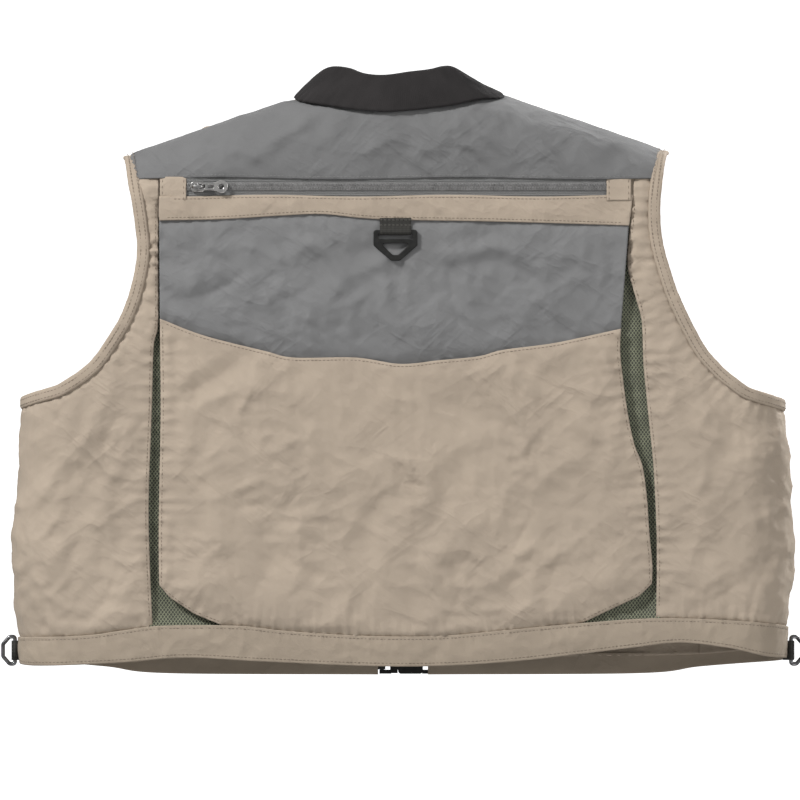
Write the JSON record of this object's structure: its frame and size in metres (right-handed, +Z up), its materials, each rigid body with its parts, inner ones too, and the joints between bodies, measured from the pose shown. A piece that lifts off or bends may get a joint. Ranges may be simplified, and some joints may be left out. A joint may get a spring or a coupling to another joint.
{
  "type": "fishing vest",
  "caption": "Short fishing vest seen as worn flat: zipped back pocket, net ring, collar, armholes, zipped front with flap and bellows pockets, side rings and a waist buckle.",
  "frame": {"origin": "middle of the neck opening, at the height where the neck meets the shoulder seams", "axes": "+X to the wearer's right, +Y forward out of the chest, +Z up; the back faces -Y"},
  "size_m": [0.6432, 0.1183, 0.488],
  "materials": {
    "tan_cloth": "matt woven nylon, wrinkled",
    "grey_cloth": "matt woven nylon, soft wrinkles",
    "collar_knit": "dense charcoal knit",
    "mesh": "olive knitted mesh",
    "webbing": "dark olive grey woven webbing",
    "zip_tape": "grey woven tape and nylon coil",
    "zip_metal": "bright tumbled metal",
    "black_plastic": "matt moulded",
    "ring_metal": "black nickel, polished",
    "fleece": "cream pile",
    "hook_tape": "hook fastener"
  },
  "bodies": {
    "vest": {"armhole_binding_left": "tan_cloth", "armhole_binding_right": "tan_cloth", "back_band": "tan_cloth", "back_hem": "tan_cloth", "back_mesh": "mesh", "back_panel": "tan_cloth", "back_yoke": "grey_cloth", "back_zip_coil": "zip_tape", "back_zip_end_tabs": "tan_cloth", "back_zip_tape": "zip_tape", "buckle_socket": "black_plastic", "chest_pocket_left": "tan_cloth", "chest_pocket_right": "tan_cloth", "collar": "collar_knit", "collar_lining": "collar_knit", "fly_patch": "fleece", "fly_patch_backing": "tan_cloth", "front_hem_left": "tan_cloth", "front_hem_right": "tan_cloth", "front_panel_left": "tan_cloth", "front_panel_right": "tan_cloth", "front_zip_box": "zip_metal", "front_zip_coil": "zip_tape", "front_zip_tape_left": "zip_tape", "front_zip_tape_right": "zip_tape", "hanging_loop": "webbing", "hook_patch_left": "hook_tape", "hook_patch_right": "hook_tape", "lower_pocket_left": "tan_cloth", "lower_pocket_right": "tan_cloth", "lower_yoke": "grey_cloth", "lower_zip_coil_left": "zip_tape", "lower_zip_coil_right": "zip_tape", "lower_zip_tape_left": "zip_tape", "lower_zip_tape_right": "zip_tape", "neck_binding_left": "tan_cloth", "neck_binding_right": "tan_cloth", "net_ring_webbing": "webbing", "side_panel_left": "tan_cloth", "side_panel_right": "tan_cloth", "side_tab_left": "webbing", "side_tab_right": "webbing", "socket_strap": "webbing", "tool_tab": "webbing"},
    "back_slider": {"back_zip_slider": "zip_metal"},
    "back_pull": {"back_zip_pull": "zip_metal"},
    "net_ring": {"net_ring": "black_plastic"},
    "side_ring_left": {"side_ring_left": "ring_metal"},
    "side_ring_right": {"side_ring_right": "ring_metal"},
    "tool_ring": {"tool_ring": "ring_metal"},
    "front_slider": {"front_zip_slider": "zip_metal"},
    "front_pull": {"front_zip_pull": "zip_metal"},
    "chest_flap_left": {"chest_flap_left": "tan_cloth"},
    "chest_flap_right": {"chest_flap_right": "tan_cloth"},
    "pocket_slider_left": {"lower_zip_slider_left": "zip_metal"},
    "pocket_slider_right": {"lower_zip_slider_right": "zip_metal"},
    "pocket_pull_left": {"lower_zip_pull_left": "zip_metal"},
    "pocket_pull_right": {"lower_zip_pull_right": "zip_metal"},
    "plug": {"buckle_plug": "black_plastic", "plug_strap": "webbing"}
  },
  "joints": [
    {"name": "back_zip_slide", "type": "slide", "parent": "vest", "child": "back_slider", "axis": [1, 0, 0], "range_m": [0, 0.318]},
    {"name": "back_pull_swing", "type": "hinge", "parent": "back_slider", "child": "back_pull", "pos_m": [-0.163, -0.0464, -0.071], "axis": [0, 0, -1], "range_deg": [0, 180]},
    {"name": "net_ring_swing", "type": "hinge", "parent": "vest", "child": "net_ring", "pos_m": [-0.006, -0.04518, -0.107], "axis": [-1, 0, 0], "range_deg": [0, 150]},
    {"name": "side_ring_left_swing", "type": "hinge", "parent": "vest", "child": "side_ring_left", "pos_m": [-0.31038, 0, -0.441], "axis": [0, 0, 1], "range_deg": [-75, 75]},
    {"name": "side_ring_right_swing", "type": "hinge", "parent": "vest", "child": "side_ring_right", "pos_m": [0.31038, 0, -0.441], "axis": [0, 0, 1], "range_deg": [-75, 75]},
    {"name": "tool_ring_swing", "type": "hinge", "parent": "vest", "child": "tool_ring", "pos_m": [0.108, 0.04518, -0.084], "axis": [1, 0, 0], "range_deg": [0, 150]},
    {"name": "front_zip_slide", "type": "slide", "parent": "vest", "child": "front_slider", "axis": [0, 0, -1], "range_m": [0, 0.24]},
    {"name": "front_pull_swing", "type": "hinge", "parent": "front_slider", "child": "front_pull", "pos_m": [0, 0.0464, -0.169], "axis": [1, 0, 0], "range_deg": [0, 180]},
    {"name": "chest_flap_left_fold", "type": "hinge", "parent": "vest", "child": "chest_flap_left", "pos_m": [-0.11, 0.0423, -0.1357], "axis": [1, 0, 0], "range_deg": [0, 85]},
    {"name": "pocket_zip_left_slide", "type": "slide", "parent": "vest", "child": "pocket_slider_left", "axis": [1, 0, 0], "range_m": [0, 0.116]},
    {"name": "pocket_pull_left_swing", "type": "hinge", "parent": "pocket_slider_left", "child": "pocket_pull_left", "pos_m": [-0.188, 0.056, -0.2796], "axis": [0, -1, 0], "range_deg": [0, 180]},
    {"name": "chest_flap_right_fold", "type": "hinge", "parent": "vest", "child": "chest_flap_right", "pos_m": [0.11, 0.0423, -0.1357], "axis": [1, 0, 0], "range_deg": [0, 85]},
    {"name": "pocket_zip_right_slide", "type": "slide", "parent": "vest", "child": "pocket_slider_right", "axis": [1, 0, 0], "range_m": [0, 0.116]},
    {"name": "pocket_pull_right_swing", "type": "hinge", "parent": "pocket_slider_right", "child": "pocket_pull_right", "pos_m": [0.072, 0.056, -0.2796], "axis": [0, -1, 0], "range_deg": [0, 180]},
    {"name": "buckle_release", "type": "slide", "parent": "vest", "child": "plug", "axis": [-1, 0, 0], "range_m": [0, 0.02]}
  ]
}
